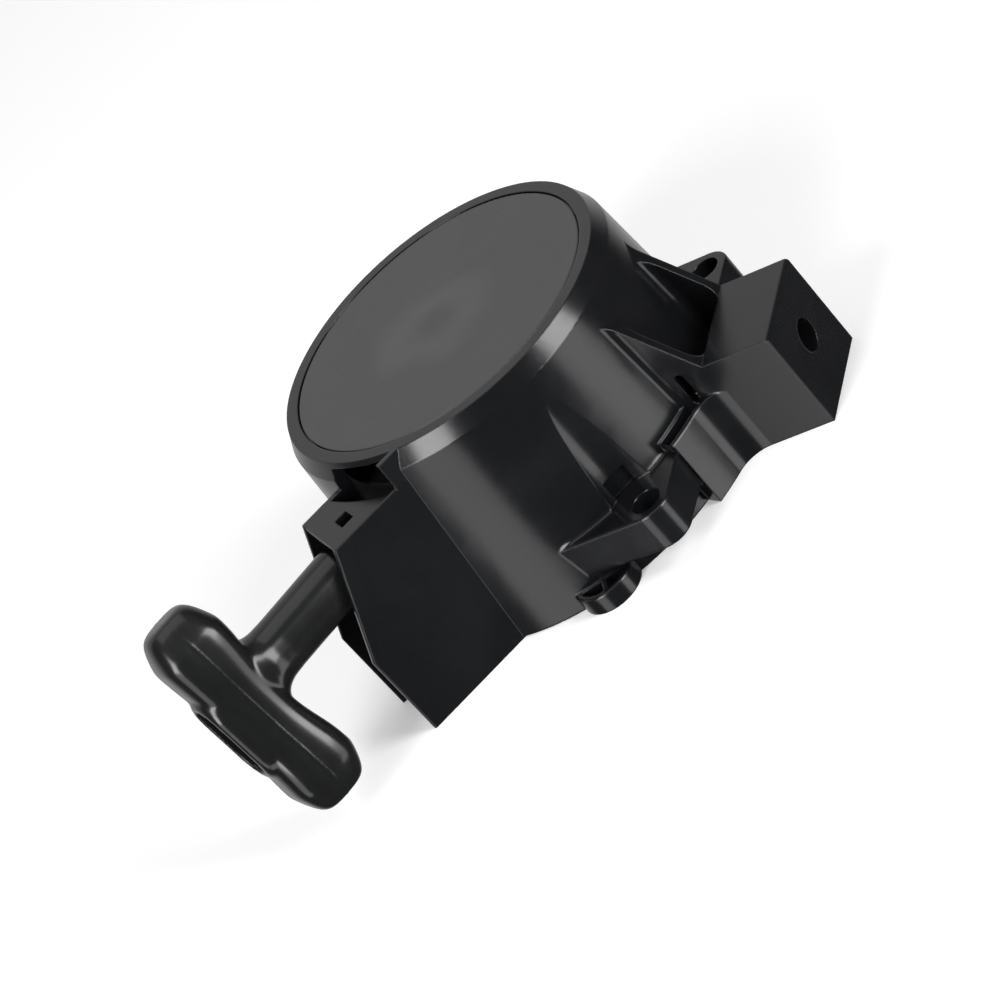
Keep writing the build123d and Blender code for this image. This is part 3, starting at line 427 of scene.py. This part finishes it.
def apply_modifier(piece, kind, **settings):
    """Adds a modifier with its settings, and makes its result the piece's mesh."""
    modifier = piece.modifiers.new(kind.title(), kind)
    for key, value in settings.items():
        setattr(modifier, key, value)
    shown = piece.evaluated_get(bpy.context.evaluated_depsgraph_get())
    mesh = bpy.data.meshes.new_from_object(shown)
    piece.modifiers.clear()
    piece.data = mesh


def smooth_shaded(piece):
    """Shades a piece's faces smooth."""
    piece.data.polygons.foreach_set("use_smooth", [True] * len(piece.data.polygons))
    piece.data.update()


def dress(piece, material, body):
    """Gives a new piece its material, slot and body."""
    piece.data.materials.clear()
    piece.data.materials.append(material)
    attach(piece, body)


def dress_node(node, material):
    """Gives a carried-over node its material."""
    for place in frame["nodes"][node].material_slots:
        place.material = material


# ------------------------------------------------------------------ operators
class STARTER_OT_effects(bpy.types.Operator):
    """Makes the shared surface effects"""

    bl_idname = "starter.effects"
    bl_label = "Surface Effects"

    def execute(self, context):
        moulded_grain_group()
        settled_dust_group()
        edge_wear_and_highlight_group()
        fine_scratches_group()
        return {"FINISHED"}


class STARTER_OT_housing(bpy.types.Operator):
    """Finishes the moulded housing and its face disc"""

    bl_idname = "starter.housing"
    bl_label = "Housing and Disc"

    def execute(self, context):
        colours = context.scene.starter_colours
        black = plastic_material(
            "Gloss Black Housing", colours.housing, colours.gloss, grain_size=2400.0, bump=0.08, dust=0.008,
            edge_radius=0.0006)
        charcoal = plastic_material(
            "Charcoal Disc", colours.disc, 0.46, grain_size=3200.0, bump=0.25, dust=0.008,
            edge_radius=0.0003, wear_and_highlight=0.1, flow_tone=1.1, extra=disc_smudge)
        dress_node("housing", black)
        dress_node("face_disc", charcoal)
        return {"FINISHED"}


class STARTER_OT_works(bpy.types.Operator):
    """Finishes the reel, ratchet, springs, cover and fasteners inside the cup"""

    bl_idname = "starter.works"
    bl_label = "Inner Works"

    plated_nodes = ("rope_guide", "spring_cover", "cover_screws", "thrust_washer", "centre_screw",
                    "drive_plate", "pawl_1", "pawl_2", "handle_washer")
    spring_nodes = ("recoil_spring", "friction_spring", "pawl_spring_1", "pawl_spring_2")

    def execute(self, context):
        colours = context.scene.starter_colours
        nylon = plastic_material(
            "Reel Nylon", colours.reel, 0.48, grain_size=2000.0, bump=0.3, dust=0.05, edge_radius=0.0003)
        plated = steel_material("Zinc Plated Steel", colours.steel, 0.34, streaks=300.0)
        strip = steel_material("Oiled Spring Steel", colours.spring, 0.28, streaks=500.0)
        dress_node("rope_reel", nylon)
        for node in self.plated_nodes:
            dress_node(node, plated)
        for node in self.spring_nodes:
            dress_node(node, strip)
        return {"FINISHED"}


class STARTER_OT_handle(bpy.types.Operator):
    """Builds the moulded T handle: lobed grip, round stem, rim and hollow front"""

    bl_idname = "starter.handle"
    bl_label = "Handle"

    # stations from the middle of the grip to its end: share of its half length, half thickness along the
    # pull, half width, squareness, and how far the section sits forward
    stations = ((0.0, 9.1, 9.3, 3.6, 0.6), (0.2, 9.1, 9.4, 3.6, 0.6), (0.32, 9.4, 9.7, 3.6, 0.4),
                (0.44, 9.9, 10.3, 3.6, 0.2), (0.56, 10.3, 10.7, 3.6, 0.0), (0.7, 10.5, 10.7, 3.6, 0.0),
                (0.74, 10.4, 10.5, 3.5, 0.0), (0.84, 9.4, 9.0, 3.2, 0.0), (0.93, 8.2, 7.3, 3.0, 0.0),
                (0.98, 6.9, 5.8, 2.8, 0.0), (1.0, 5.2, 4.2, 2.6, 0.0))
    # stem from its tip to its foot in the grip: distance along the pull, and radius
    stem_stations = ((0.0, 7.0), (0.35, 7.7), (1.2, 8.0), (12.0, 8.0), (26.0, 8.0), (30.0, 8.2),
                     (32.4, 8.9), (33.9, 10.0), (34.8, 11.4), (38.0, 11.6))
    stem_side_limit = 8.6
    # rim round the hollow: distance along the pull, and how much it is wider than at its edge
    rim_stations = ((0.0, 2.4), (8.0, 2.4), (9.8, 1.4), (10.7, 0.3), (11.0, -0.6))
    rim_half = (13.4, 7.6)
    rim_drop = 1.5
    hollow_half = (11.6, 5.6)
    hollow_span = (1.5, 14.0)
    bore_radius = 2.4
    bore_span = (-2.0, 46.0)
    # witness line: how far forward of the grip's middle, its half width and its height
    parting = (0.6, 0.5, 0.12)
    # from the guide's point: the stem's tip and the grip's middle along the pull, and the grip's drop
    stem_gap = 2.9
    grip_reach = 46.1
    grip_drop = 5.3

    def execute(self, context):
        sizes = context.scene.starter_sizes
        up = UPRIGHT * cos(sizes.grip_lean) - ASIDE * sin(sizes.grip_lean)
        side = up.cross(PULL)
        middle = GUIDE_POINT + PULL * self.grip_reach * MM - up * self.grip_drop * MM
        rim_middle = middle - up * self.rim_drop * MM
        grip = self.grip_body(middle, up, side, sizes.grip_half)
        stem, bore = self.stem_and_bore(up, side)
        rim = loft("rim_body", [
            self.slot_ring(rim_middle + PULL * along * MM, up, side, (self.rim_half[0] + grow) * MM,
                           (self.rim_half[1] + grow * 0.6) * MM) for along, grow in self.rim_stations])
        hollow = loft("hollow_cutter", [
            self.slot_ring(rim_middle + PULL * along * MM, up, side, self.hollow_half[0] * MM,
                           self.hollow_half[1] * MM) for along in self.hollow_span])
        for other in (stem, rim):
            apply_modifier(grip, "BOOLEAN", object=other, operation="UNION", solver="EXACT")
        apply_modifier(grip, "REMESH", mode="VOXEL", voxel_size=sizes.voxel)
        apply_modifier(grip, "SMOOTH", factor=0.5, iterations=8)
        for other in (hollow, bore):
            apply_modifier(grip, "BOOLEAN", object=other, operation="DIFFERENCE", solver="EXACT")
        apply_modifier(grip, "REMESH", mode="VOXEL", voxel_size=sizes.voxel)
        apply_modifier(grip, "SMOOTH", factor=0.5, iterations=6)
        for other in (stem, rim, hollow, bore):
            bpy.data.objects.remove(other)
        self.parting_line(grip, middle)
        smooth_shaded(grip)
        grip.name = "moulded_handle"
        satin = plastic_material(
            "Satin Black Handle", context.scene.starter_colours.handle, 0.21, grain_size=2000.0, bump=0.08,
            dust=0.01, edge_radius=0.0004)
        dress(grip, satin, "handle")
        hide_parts("handle_grip")
        return {"FINISHED"}

    def grip_body(self, middle, up, side, half):
        """The grip: a loft through its stations and their mirror image, subdivided."""
        rings = []
        mirrored = [(-share, *rest) for share, *rest in reversed(self.stations[1:])]
        for share, thick, wide, power, forward in mirrored + list(self.stations):
            centre = middle + up * share * half + PULL * forward * MM
            rings.append(rounded_ring(centre, PULL, side, thick * MM, wide * MM, power))
        grip = loft("grip_body", rings)
        apply_modifier(grip, "SUBSURF", levels=2, render_levels=2)
        return grip

    def stem_and_bore(self, up, side):
        """The round stem that flares into the grip, and the cutter for the rope's bore through it."""
        tip = GUIDE_POINT + PULL * self.stem_gap * MM
        stem = loft("stem_body", [
            rounded_ring(tip + PULL * along * MM, up, side, radius * MM,
                         min(radius, self.stem_side_limit) * MM, ROUND)
            for along, radius in self.stem_stations])
        bore = loft("bore_cutter", [
            rounded_ring(tip + PULL * along * MM, up, side, self.bore_radius * MM,
                         self.bore_radius * MM, ROUND)
            for along in self.bore_span])
        return stem, bore

    def parting_line(self, grip, middle):
        """Raises the fine witness line that the mould's halves leave round the grip."""
        forward, half_width, height = (size * MM for size in self.parting)
        mesh = bmesh.new()
        mesh.from_mesh(grip.data)
        mesh.normal_update()
        for vertex in mesh.verts:
            off_line = abs((vertex.co - middle).dot(PULL) - forward)
            if off_line < half_width and abs(vertex.normal.dot(PULL)) < 0.5:
                vertex.co += vertex.normal * height * (1 - off_line / half_width)
        mesh.to_mesh(grip.data)
        mesh.free()

    @staticmethod
    def slot_ring(centre, along, across, half_long, half_wide, count=64):
        """Points of a slot's outline: two half circles joined by straight sides."""
        ring = []
        for index in range(count):
            turn = 2 * pi * (index + 0.5) / count
            end = half_long - half_wide if sin(turn) > 0 else half_wide - half_long
            ring.append(centre + along * (end + half_wide * sin(turn)) + across * half_wide * cos(turn))
        return ring


class STARTER_OT_rope(bpy.types.Operator):
    """Finishes the rope on the reel and makes the run that follows the handle"""

    bl_idname = "starter.rope"
    bl_label = "Rope"

    # the run from the guide into the stem: its ends along the pull, and its share of the full radius
    run_span = (0.3, 3.2)
    slimmer = 0.98
    steps = 80
    facets = 32

    def execute(self, context):
        sizes = context.scene.starter_sizes
        braid = rope_material(context.scene.starter_colours.rope)
        for node in ("rope_wound", "rope_lead", "reel_knot", "handle_rope", "handle_knot"):
            dress_node(node, braid)
        radius = sizes.rope_radius * self.slimmer
        start = GUIDE_POINT + PULL * self.run_span[0] * MM
        finish = GUIDE_POINT + PULL * self.run_span[1] * MM
        rings = [rounded_ring(start.lerp(finish, step / self.steps), -ASIDE, UPRIGHT, radius, radius,
                              ROUND, self.facets)
                 for step in range(self.steps + 1)]
        run = loft("pulled_rope", rings)
        smooth_shaded(run)
        run.data.materials.append(braid)
        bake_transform(run)
        return {"FINISHED"}


class STARTER_OT_studio(bpy.types.Operator):
    """Lays the pale floor and sets the soft lights and the camera"""

    bl_idname = "starter.studio"
    bl_label = "Studio"

    # softboxes, an upper and a lower one on each side: bearing, distance, lowest and highest edge, width,
    # radiance
    softboxes = ((-147.0, 1.5, 0.1, 1.5, 0.62, 9.5), (-151.0, 1.5, -1.4, 0.1, 0.82, 1.75),
                 (-51.0, 1.5, 0.1, 1.5, 0.66, 9.0), (-51.0, 1.5, -1.4, 0.1, 0.7, 2.3))
    overhead_at = (0, 0.3, 1.9)
    overhead_width = 1.6
    overhead_power = 7.0
    # strength of the surround's glow, behind the starter and above it, and its strength everywhere
    glow_strength = 0.55
    least_strength = 0.035
    floor_half = 6.0
    camera_at = (-0.1350, -0.9384, 0.5304)
    camera_forward = (0.107, 0.871, -0.479)
    camera_roll = 42.288
    camera_lens = 144

    def execute(self, context):
        self.floor()
        self.lights(context)
        self.camera(context)
        return {"FINISHED"}

    def floor(self):
        """Pale floor, lightly mottled. Glossy reflections look past it."""
        mesh = bmesh.new()
        bmesh.ops.create_grid(mesh, x_segments=8, y_segments=8, size=self.floor_half)
        data = bpy.data.meshes.new("floor")
        mesh.to_mesh(data)
        mesh.free()
        floor = link_mesh("floor", data)
        material, tree, shader = new_material("Pale Floor", roughness=0.9, specular_ior_level=0.1,
                                              emission_color=(1, 1, 1, 1), emission_strength=0.3)
        place = add_node(tree, "ShaderNodeTexCoord").outputs["Object"]
        cloud = add_node(tree, "ShaderNodeTexNoise", inputs={"Scale": 3.0, "Detail": 2.0})
        tree.links.new(place, cloud.inputs["Vector"])
        tree.links.new(mix_colours(tree, cloud.outputs["Fac"], (0.9, 0.9, 0.9), (0.92, 0.92, 0.92)),
                       shader.inputs["Base Color"])
        data.materials.append(material)
        floor.visible_glossy = False
        floor.visible_shadow = False

    def lights(self, context):
        """Tall softboxes either side of the camera, a wide one overhead and a surround that glows behind."""
        for number, (bearing, distance, low, high, width, radiance) in enumerate(self.softboxes):
            data = bpy.data.lights.new(f"softbox_{number}", "AREA")
            data.shape = "RECTANGLE"
            data.size = width
            data.size_y = high - low
            data.energy = radiance * pi * width * (high - low)
            lamp = bpy.data.objects.new(f"softbox_{number}", data)
            outward = Vector((cos(radians(bearing)), sin(radians(bearing)), 0))
            lamp.matrix_world = Matrix.Translation(outward * distance + UPRIGHT * (low + high) / 2) @ (
                outward.to_track_quat("Z", "Y").to_matrix().to_4x4())
            lamp.visible_camera = False
            context.scene.collection.objects.link(lamp)
        data = bpy.data.lights.new("overhead", "AREA")
        data.size = self.overhead_width
        data.energy = self.overhead_power
        lamp = bpy.data.objects.new("overhead", data)
        lamp.location = self.overhead_at
        lamp.visible_camera = False
        context.scene.collection.objects.link(lamp)
        self.surround(context)

    def surround(self, context):
        """The dim world, with a glow towards +Y and overhead, and the plain view transform."""
        world = bpy.data.worlds.new("Studio")
        context.scene.world = world
        world.use_nodes = True
        tree = world.node_tree
        place = add_node(tree, "ShaderNodeTexCoord").outputs["Generated"]
        split = add_node(tree, "ShaderNodeSeparateXYZ")
        tree.links.new(place, split.inputs[0])
        back = remap(tree, split.outputs["Y"], 0.35, 0.75, 0.0, 1.0)
        top = remap(tree, split.outputs["Z"], 0.5, 1.0, 0.0, 0.4)
        glow = math(tree, "MAXIMUM", back, top)
        glowing = math(tree, "MULTIPLY", glow, self.glow_strength)
        strength = math(tree, "ADD", glowing, self.least_strength)
        tree.links.new(strength, tree.nodes["Background"].inputs["Strength"])
        tree.nodes["Background"].inputs["Color"].default_value = (1, 1, 1, 1)
        context.scene.view_settings.view_transform = "Standard"

    def camera(self, context):
        """Looks down on the starter from the pull side, rolled so that the face points up and left."""
        data = bpy.data.cameras.new("camera")
        data.lens = self.camera_lens
        data.clip_start = 0.05
        camera = bpy.data.objects.new("camera", data)
        forward = Vector(self.camera_forward).normalized()
        level = forward.cross(UPRIGHT).normalized()
        upward = level.cross(forward)
        roll = radians(self.camera_roll)
        right = level * cos(roll) - upward * sin(roll)
        top = level * sin(roll) + upward * cos(roll)
        turn = Matrix((right, top, -forward)).transposed()
        camera.matrix_world = Matrix.Translation(self.camera_at) @ turn.to_4x4()
        context.scene.collection.objects.link(camera)
        context.scene.camera = camera


class STARTER_PT_panel(bpy.types.Panel):
    """Lists the starter's build steps"""

    bl_idname = "STARTER_PT_panel"
    bl_label = "Recoil Starter"
    bl_space_type = "VIEW_3D"
    bl_region_type = "UI"
    bl_category = "Starter"

    def draw(self, context):
        column = self.layout.column()
        for step in STEPS:
            column.operator(step.bl_idname)


STEPS = (STARTER_OT_effects, STARTER_OT_housing, STARTER_OT_works, STARTER_OT_handle, STARTER_OT_rope,
         STARTER_OT_studio)
CLASSES = (StarterSizes, StarterColours, *STEPS, STARTER_PT_panel)


def register():
    """Registers the classes and the scene's settings."""
    for item in CLASSES:
        bpy.utils.register_class(item)
    bpy.types.Scene.starter_sizes = bpy.props.PointerProperty(type=StarterSizes)
    bpy.types.Scene.starter_colours = bpy.props.PointerProperty(type=StarterColours)


def unregister():
    """Takes back what register did."""
    del bpy.types.Scene.starter_colours
    del bpy.types.Scene.starter_sizes
    for item in reversed(CLASSES):
        bpy.utils.unregister_class(item)


def main():
    """Builds everything in order."""
    register()
    bpy.ops.starter.effects()
    bpy.ops.starter.housing()
    bpy.ops.starter.works()
    bpy.ops.starter.handle()
    bpy.ops.starter.rope()
    bpy.ops.starter.studio()


if __name__ == "__main__":
    main()
